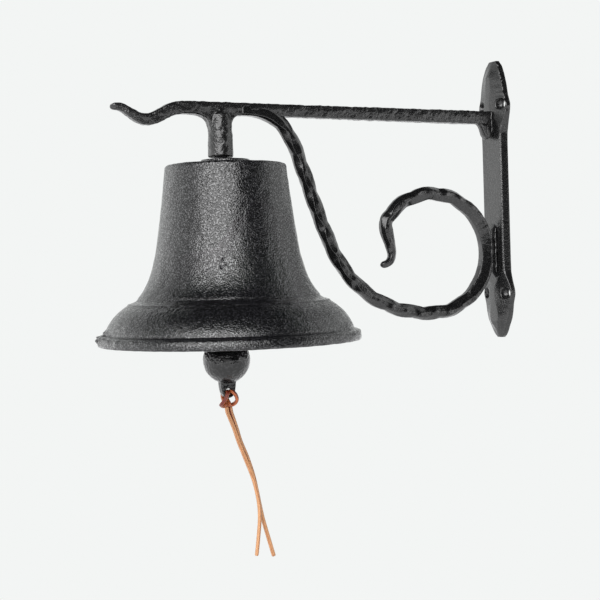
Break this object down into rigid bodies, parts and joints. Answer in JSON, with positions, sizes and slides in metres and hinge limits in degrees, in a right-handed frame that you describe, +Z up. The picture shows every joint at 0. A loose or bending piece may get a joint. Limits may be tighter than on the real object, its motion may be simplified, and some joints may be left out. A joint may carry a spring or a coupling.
{
  "type": "wall-mounted door bell",
  "caption": "Cast-iron bell with a swinging clapper and a leather pull lace, hung on an eye bolt from a scroll bracket whose spear-ended plate screws to a wall.",
  "frame": {"origin": "middle of the wall plate's back face, where it lies on the wall", "axes": "+X into the wall, so the arm points along -X; +Z up; the bracket lies in the plane Y = 0"},
  "size_m": [0.294, 0.166, 0.3231],
  "materials": {
    "bracket_paint": "semi-gloss black paint over sand-cast iron",
    "bell_paint": "semi-gloss black paint over sand-cast iron",
    "clapper_paint": "semi-gloss black paint over sand-cast iron",
    "bolt_zinc": "zinc plated",
    "washer_zinc": "zinc plated",
    "nut_zinc": "zinc plated",
    "link_wire": "drawn and zinc plated",
    "lace_leather": "waxed"
  },
  "bodies": {
    "bracket": {"bracket_casting": "bracket_paint", "eye_bolt": "bolt_zinc", "crown_washer": "washer_zinc", "bell_nut": "nut_zinc"},
    "bell": {"bell_casting": "bell_paint"},
    "link": {"clapper_link": "link_wire"},
    "clapper": {"clapper_casting": "clapper_paint"},
    "lace": {"lace_hitch": "lace_leather", "lace_tail_front": "lace_leather", "lace_tail_back": "lace_leather"}
  },
  "joints": [
    {"name": "bell_swivel", "type": "hinge", "parent": "bracket", "child": "bell", "pos_m": [-0.211, 0, 0.022], "axis": [0, 0, 1], "continuous": true},
    {"name": "link_swing", "type": "hinge", "parent": "bracket", "child": "link", "pos_m": [-0.214, 0, -0.00435], "axis": [0, 1, 0], "range_deg": [-34, 31.5]},
    {"name": "clapper_rock", "type": "hinge", "parent": "link", "child": "clapper", "pos_m": [-0.214, 0, -0.01835], "axis": [1, 0, 0], "range_deg": [-7, 7]},
    {"name": "lace_swing", "type": "hinge", "parent": "clapper", "child": "lace", "pos_m": [-0.214, 0, -0.1213], "axis": [0, -1, 0], "range_deg": [-34, 31.5]}
  ]
}
